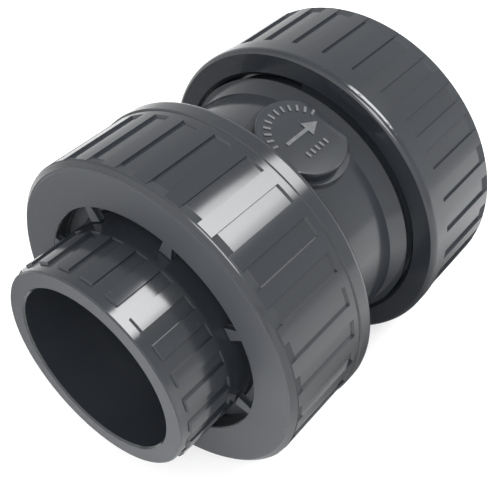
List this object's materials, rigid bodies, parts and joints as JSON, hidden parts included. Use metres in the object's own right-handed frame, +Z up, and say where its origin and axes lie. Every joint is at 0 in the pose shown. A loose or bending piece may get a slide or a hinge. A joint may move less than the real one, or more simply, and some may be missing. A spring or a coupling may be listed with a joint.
{
  "type": "double union check valve",
  "caption": "In-line spring check valve with a ribbed union nut and a plain solvent socket at each end, round marking pad on the body, and a sprung poppet inside.",
  "frame": {"origin": "on the pipe axis at mid-length, the middle of the valve body", "axes": "+X along the pipe axis, in the direction of flow toward the outlet; +Z up with the valve lying on its two nuts; the marking pad is turned 18.2 degrees from +Z toward -Y"},
  "size_m": [0.176, 0.1234, 0.1234],
  "materials": {
    "grey_pvc": "glossy moulded dark grey PVC-U",
    "black_epdm": "moulded black EPDM",
    "stainless": "turned stainless steel",
    "white_ptfe": "plain white PTFE"
  },
  "bodies": {
    "valve_body": {"valve_body": "grey_pvc", "inlet_face_o_ring": "black_epdm", "outlet_face_o_ring": "black_epdm", "seat_ring": "grey_pvc", "seat_ring_o_ring": "black_epdm", "guide_cage": "grey_pvc", "guide_bush": "white_ptfe", "cage_lock_ring": "grey_pvc", "spring_washer": "stainless", "spring": "stainless"},
    "poppet": {"poppet_disc": "grey_pvc", "disc_seal": "black_epdm", "seal_retainer": "stainless", "retainer_washer": "stainless", "retainer_nut": "stainless", "poppet_stem": "stainless"},
    "inlet_connector": {"inlet_end_connector": "grey_pvc"},
    "outlet_connector": {"outlet_end_connector": "grey_pvc"},
    "inlet_nut": {"inlet_union_nut": "grey_pvc"},
    "outlet_nut": {"outlet_union_nut": "grey_pvc"}
  },
  "joints": [
    {"name": "poppet_lift", "type": "slide", "parent": "valve_body", "child": "poppet", "axis": [1, 0, 0], "range_m": [0, 0.014], "stiffness_N_per_m": 250, "springref_m": -0.012, "deforming": ["spring"]},
    {"name": "inlet_connector_slide", "type": "slide", "parent": "valve_body", "child": "inlet_connector", "axis": [-1, 0, 0], "range_m": [0, 0.0261]},
    {"name": "inlet_nut_turn", "type": "hinge", "parent": "inlet_connector", "child": "inlet_nut", "pos_m": [0, 0, 0], "axis": [-1, 0, 0], "range_deg": [0, 1560]},
    {"name": "outlet_connector_slide", "type": "slide", "parent": "valve_body", "child": "outlet_connector", "axis": [1, 0, 0], "range_m": [0, 0.0261]},
    {"name": "outlet_nut_turn", "type": "hinge", "parent": "outlet_connector", "child": "outlet_nut", "pos_m": [0, 0, 0], "axis": [1, 0, 0], "range_deg": [0, 1560]}
  ],
  "couplings": [
    {"joint": "inlet_connector_slide", "follows": "inlet_nut_turn", "m_per_rad": 0.00095493},
    {"joint": "outlet_connector_slide", "follows": "outlet_nut_turn", "m_per_rad": 0.00095493}
  ]
}
